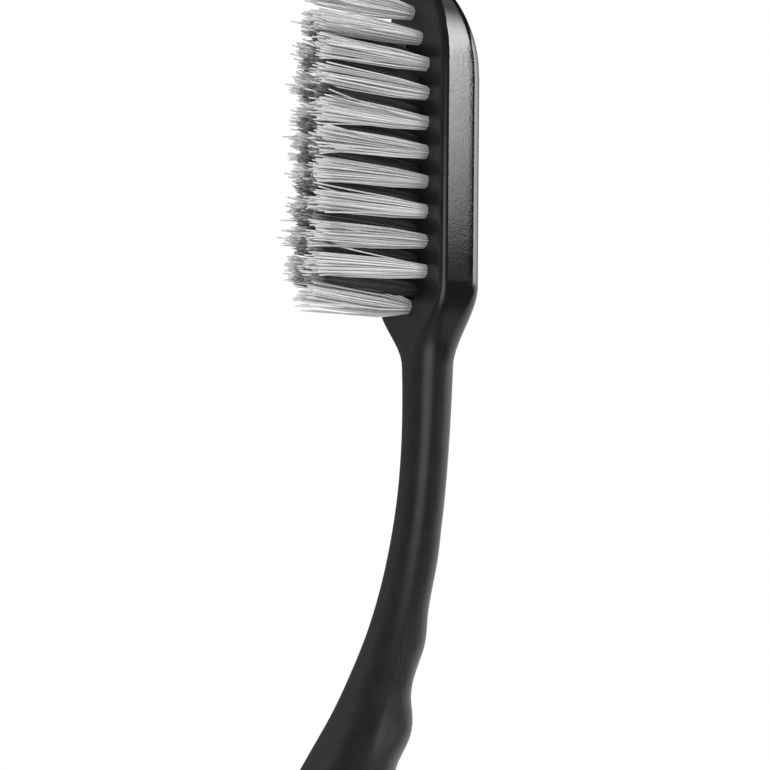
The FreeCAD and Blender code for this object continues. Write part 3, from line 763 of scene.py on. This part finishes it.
# Cards that show in the back of the neck and grip, and one in front that draws the streak along the neck.
UNDER_HEAD_PLACE = (201.0 * MM, 97.0 * MM, -100.0 * MM)
UNDER_HEAD_SIZE = (98.0 * MM, 405.0 * MM)
UNDER_HEAD_GLOW = Glow(8.0, 0.5)
UNDER_GRIP_PLACE = (-59.0 * MM, 120.0 * MM, -100.0 * MM)
UNDER_GRIP_SIZE = (422.0 * MM, 360.0 * MM)
UNDER_GRIP_GLOW = Glow(1.25, 1.25)
STRIP_DISTANCE = 240.0 * MM
STRIP_TURN = math.radians(-2.0)
STRIP_SIZE = (190.0 * MM, 300.0 * MM)
STRIP_GLOW = Glow(2.2, 2.2)

# The floor, and a dim room that is brighter above and behind: ranges of direction and of its light.
FLOOR_SIZE = 6.0
FLOOR_DROP = 0.2 * MM
FLOOR_GLOW = Glow(1.0, 1.0)
ROOM_UP_RANGE, ROOM_UP_LIGHT = (-0.3, 0.2), (0.02, 1.0)
ROOM_FAR_RANGE, ROOM_FAR_LIGHT = (-0.3, 0.6), (0.12, 0.28)


def facing(place, aim, rising=ALONG):
    """The turn and place of a sheet or light that faces a point, with its height along a direction."""
    back = (place - aim).normalized()
    up = (rising - rising.dot(back) * back).normalized()
    return Matrix.Translation(place) @ Matrix((up.cross(back), up, back)).transposed().to_4x4()


def make_light(name, place, aim, width, height, power):
    """A soft rectangular light that the camera doesn't see, with its height towards the head."""
    data = bpy.data.lights.new(name, "AREA")
    data.shape = "RECTANGLE"
    data.size = width
    data.size_y = height
    data.energy = power
    light = bpy.data.objects.new(name, data)
    light.matrix_world = facing(place, aim)
    light.visible_camera = light.visible_glossy = False
    bpy.context.scene.collection.objects.link(light)


def make_card(name, pose, size, glow):
    """A lit sheet that only shows as a reflection."""
    select_nothing()
    bpy.ops.mesh.primitive_plane_add(size=1.0)
    card = start_piece(name)
    card.data.transform(pose @ Matrix.Diagonal((*size, 1, 1)))
    card.data.materials.append(glowing_white(f"{name}_glow", glow))
    card.visible_camera = card.visible_diffuse = card.visible_shadow = False


def make_floor():
    """The plain pale floor that the brush lies on. The cards take its place in reflections."""
    select_nothing()
    bpy.ops.mesh.primitive_plane_add(size=FLOOR_SIZE, location=(0, 0, -FLOOR_DROP))
    floor = start_piece("floor")
    floor.data.materials.append(glowing_white("floor_white", FLOOR_GLOW))
    floor.visible_glossy = False


def make_side_card():
    """The card in the flat of the head's near side, which is seen mirrored there."""
    mirrored = (2 * TO_EYE.dot(NEAR) * NEAR - TO_EYE).normalized()
    aim = WALL_AIM + ALONG * SIDE_CARD_RISE
    make_card("side_card", facing(aim + mirrored * CARD_DISTANCE, aim), SIDE_CARD_SIZE, SIDE_CARD_GLOW)


def make_tip_card():
    """The card in the curve of the head's tip, turned round the head from the side."""
    turned = ALONG * math.sin(TIP_CARD_TURN) + NEAR * math.cos(TIP_CARD_TURN)
    rising = ALONG * math.cos(TIP_CARD_TURN) - NEAR * math.sin(TIP_CARD_TURN)
    aim = WALL_AIM + ALONG * TIP_CARD_RISE
    place = aim + (turned * math.cos(VIEW_TURN) - OUT * math.sin(VIEW_TURN)) * CARD_DISTANCE
    make_card("tip_card", facing(place, aim, rising), TIP_CARD_SIZE, TIP_CARD_GLOW)


def make_under_cards():
    """Two cards under the floor, which show in the back of the neck and of the grip."""
    make_card("under_head_card", Matrix.Translation(UNDER_HEAD_PLACE), UNDER_HEAD_SIZE, UNDER_HEAD_GLOW)
    make_card("under_grip_card", Matrix.Translation(UNDER_GRIP_PLACE), UNDER_GRIP_SIZE, UNDER_GRIP_GLOW)


def make_strip_card():
    """The card in front that draws the soft streak along the neck."""
    place = NECK_AIM + (TO_EYE * math.cos(STRIP_TURN) - OUT * math.sin(STRIP_TURN)) * STRIP_DISTANCE
    make_card("strip_card", facing(place, NECK_AIM), STRIP_SIZE, STRIP_GLOW)


def make_room():
    """A dim room round the studio, brighter above and behind the brush."""
    world = bpy.data.worlds.new("studio")
    world.use_nodes = True
    world.node_tree.nodes.clear()
    start = Wire(world.node_tree)
    coords = start.add("ShaderNodeTexCoord", {}, {}, "Generated")
    upward = start.add("ShaderNodeSeparateXYZ", {}, {"Vector": coords}, "Z")
    farther = start.add("ShaderNodeSeparateXYZ", {}, {"Vector": coords}, "Y")
    light = upward.ramp(*ROOM_UP_RANGE, *ROOM_UP_LIGHT) * farther.ramp(*ROOM_FAR_RANGE, *ROOM_FAR_LIGHT)
    background = start.add("ShaderNodeBackground", {}, {"Color": light, "Strength": 1.0})
    start.add("ShaderNodeOutputWorld", {}, {"Surface": background})
    bpy.context.scene.world = world


def make_studio():
    """A white floor, soft lights on the bristles, and cards that draw the gloss on the black plastic."""
    make_floor()
    right, up = view_axes()
    for name, (aim, (rightward, upward, eyeward), width, height, power) in SOFT_LIGHTS.items():
        place = aim + right * rightward + up * upward + TO_EYE * eyeward
        make_light(name, place, aim, width, height, power)
    make_side_card()
    make_tip_card()
    make_under_cards()
    make_strip_card()
    make_room()
    bpy.context.scene.view_settings.view_transform = "Standard"


def dress_handle():
    """The smooth moulding in place of the handle's solid."""
    handle = make_handle()
    handle.data.materials.append(moulded_black())
    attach(handle, BODY)
    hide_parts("handle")


def dress_tufts():
    """A bundle of filaments in place of each tuft's solid: light in the outer ring, dark inside it."""
    light, dark = light_nylon(), dark_nylon()
    tufts = sorted(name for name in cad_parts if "tuft" in name)
    for seed, name in enumerate(tufts):
        outer = name.startswith("outer")
        tuft = make_tuft(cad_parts[name], tuft_style(name), seed)
        tuft.data.materials.append(light if outer else dark)
        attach(tuft, BODY)
        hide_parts(name)


def dress_anchors():
    """Brass on the anchor plates' own solids."""
    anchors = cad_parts["anchor_plates"]
    anchors.data.materials.clear()
    anchors.data.materials.append(anchor_brass())


dress_handle()
dress_tufts()
dress_anchors()
make_camera()
make_studio()
